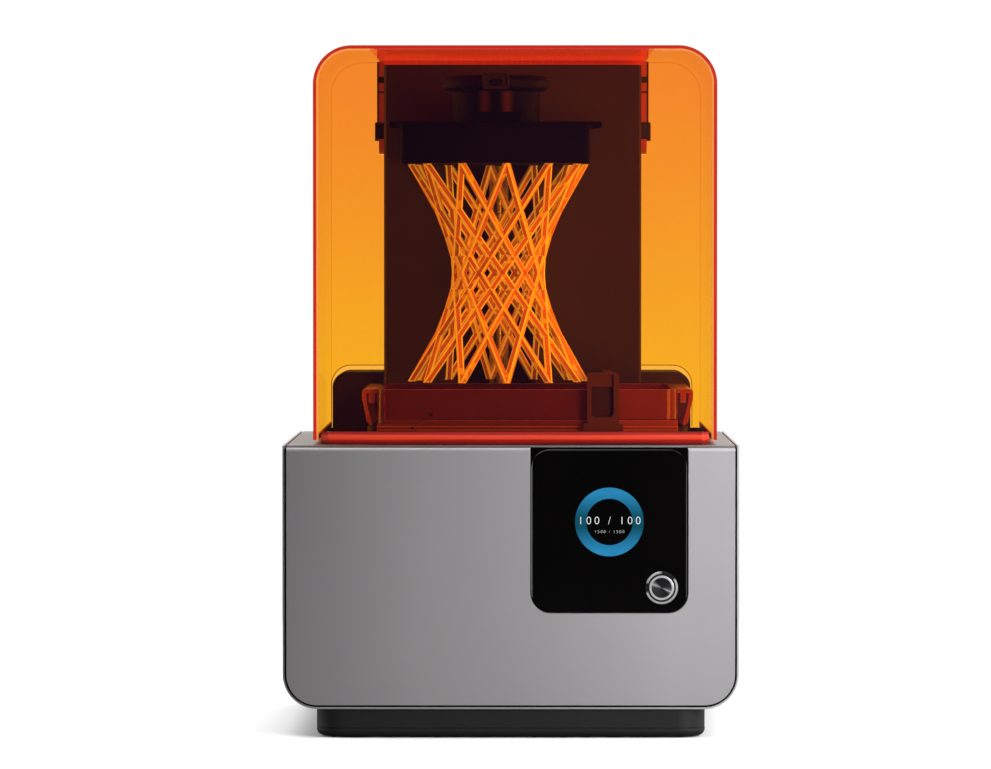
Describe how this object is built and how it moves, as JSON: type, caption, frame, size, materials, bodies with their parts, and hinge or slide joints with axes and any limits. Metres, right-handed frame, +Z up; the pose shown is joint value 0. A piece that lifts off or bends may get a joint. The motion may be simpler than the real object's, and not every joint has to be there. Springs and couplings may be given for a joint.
{
  "type": "desktop laser resin printer",
  "caption": "Desktop laser resin printer: silver base with touch display, see-through hinged cover, build platform with a lattice print, resin tank with wiper, lead screw tower and cartridge.",
  "frame": {"origin": "middle of the footprint, on the table that the feet stand on", "axes": "+X to the right as seen from the front, +Y to the back, +Z up"},
  "size_m": [0.343, 0.33, 0.521],
  "materials": {
    "silver": "satin",
    "black_paint": "satin",
    "black_plastic": "matte",
    "platform_black": "satin",
    "display_black": "gloss",
    "orange_acrylic": "gloss",
    "tank_orange": "gloss",
    "print_resin": "satin",
    "steel": "brushed",
    "brass": "satin",
    "rubber": "matte",
    "clear_glass": "gloss",
    "mirror": "mirror",
    "circuit": "satin",
    "cast_metal": "cast"
  },
  "bodies": {
    "base": {"plinth": "black_plastic", "rubber_feet": "rubber", "outer_shell": "silver", "front_panel": "silver", "front_bulkhead": "black_paint", "display_bezel": "black_plastic", "display_glass": "display_black", "button_ring": "steel", "top_deck": "silver", "bay_tray": "black_paint", "laser_window": "clear_glass", "back_panel": "black_paint", "hinge_pins": "black_paint", "tower_shell": "black_plastic", "tower_front": "black_plastic", "rear_wings": "black_plastic", "z_motor": "black_paint", "motor_bracket": "black_paint", "z_rail": "steel", "carrier_rods": "steel", "peel_motor": "black_paint", "wiper_rail": "steel", "optics_bench": "cast_metal", "main_mirror": "mirror", "galvo_motors": "black_paint", "laser_module": "black_paint", "main_board": "circuit", "power_supply": "steel", "fan_frame": "black_plastic", "power_inlet": "black_plastic", "mains_switch": "black_plastic", "data_ports": "steel", "rear_screws": "steel"},
    "cover": {"cover_wrap": "orange_acrylic", "cover_front": "orange_acrylic", "cover_lip": "orange_acrylic", "hinge_arms": "orange_acrylic"},
    "button": {"power_button": "steel"},
    "z_lift": {"rail_block": "steel", "z_carriage": "platform_black", "z_nut": "brass", "platform_arm": "platform_black"},
    "lead_screw": {"z_screw": "steel"},
    "lever": {"lock_lever": "black_plastic"},
    "platform": {"platform_body": "platform_black", "printed_lattice": "print_resin"},
    "peel": {"tank_carrier": "black_plastic", "tank_body": "tank_orange", "tank_film": "tank_orange"},
    "peel_drive": {"peel_screw": "steel"},
    "wiper": {"wiper_mount": "black_plastic", "wiper_frame": "black_plastic", "wiper_blade": "rubber"},
    "cartridge": {"cartridge_body": "tank_orange", "cartridge_valve": "rubber"},
    "vent": {"vent_cap": "black_plastic"},
    "scan_x": {"galvo_mirror_x": "mirror"},
    "scan_y": {"galvo_mirror_y": "mirror"},
    "fan": {"fan_rotor": "black_plastic"},
    "switch": {"switch_key": "black_plastic"}
  },
  "joints": [
    {"name": "cover_hinge", "type": "hinge", "parent": "base", "child": "cover", "pos_m": [0.0009, 0.14, 0.461], "axis": [-1, 0, 0], "range_deg": [0, 62]},
    {"name": "z_axis", "type": "slide", "parent": "base", "child": "z_lift", "axis": [0, 0, -1], "range_m": [0, 0.1945], "deforming": ["printed_lattice"]},
    {"name": "lead_screw_spin", "type": "hinge", "parent": "base", "child": "lead_screw", "pos_m": [-0.01, 0.07, 0.3], "axis": [0, 0, 1], "continuous": true},
    {"name": "lock_lever_hinge", "type": "hinge", "parent": "z_lift", "child": "lever", "pos_m": [-0.0117, -0.046, 0.4952], "axis": [1, 0, 0], "range_deg": [-25, 0]},
    {"name": "platform_release", "type": "slide", "parent": "z_lift", "child": "platform", "axis": [0, 1, 0], "range_m": [-0.03, 0]},
    {"name": "tank_peel", "type": "slide", "parent": "base", "child": "peel", "axis": [1, 0, 0], "range_m": [-0.025, 0]},
    {"name": "peel_screw_spin", "type": "hinge", "parent": "base", "child": "peel_drive", "pos_m": [-0.1, -0.106, 0.207], "axis": [1, 0, 0], "continuous": true},
    {"name": "wiper_sweep", "type": "slide", "parent": "base", "child": "wiper", "axis": [1, 0, 0], "range_m": [-0.16, 0.018]},
    {"name": "cartridge_lift", "type": "slide", "parent": "base", "child": "cartridge", "axis": [0, 0, -1], "range_m": [-0.235, 0]},
    {"name": "vent_cap_hinge", "type": "hinge", "parent": "cartridge", "child": "vent", "pos_m": [0.034, 0.1375, 0.498], "axis": [1, 0, 0], "range_deg": [-105, 0]},
    {"name": "button_press", "type": "slide", "parent": "base", "child": "button", "axis": [0, 1, 0], "range_m": [0, 0.0012], "stiffness_N_per_m": 600},
    {"name": "switch_rock", "type": "hinge", "parent": "base", "child": "switch", "pos_m": [0.112, 0.1585, 0.112], "axis": [0, 0, 1], "range_deg": [0, 16]},
    {"name": "fan_spin", "type": "hinge", "parent": "base", "child": "fan", "pos_m": [-0.1, 0.15, 0.12], "axis": [0, 1, 0], "continuous": true},
    {"name": "scan_x_turn", "type": "hinge", "parent": "base", "child": "scan_x", "pos_m": [-0.0117, 0.074, 0.112], "axis": [0, 0, 1], "range_deg": [-10, 10]},
    {"name": "scan_y_turn", "type": "hinge", "parent": "base", "child": "scan_y", "pos_m": [-0.0117, 0.098, 0.112], "axis": [1, 0, 0], "range_deg": [-10, 10]}
  ],
  "couplings": [
    {"joint": "lead_screw_spin", "follows": "z_axis", "rad_per_m": 785.4},
    {"joint": "peel_screw_spin", "follows": "tank_peel", "rad_per_m": 1570.8}
  ]
}
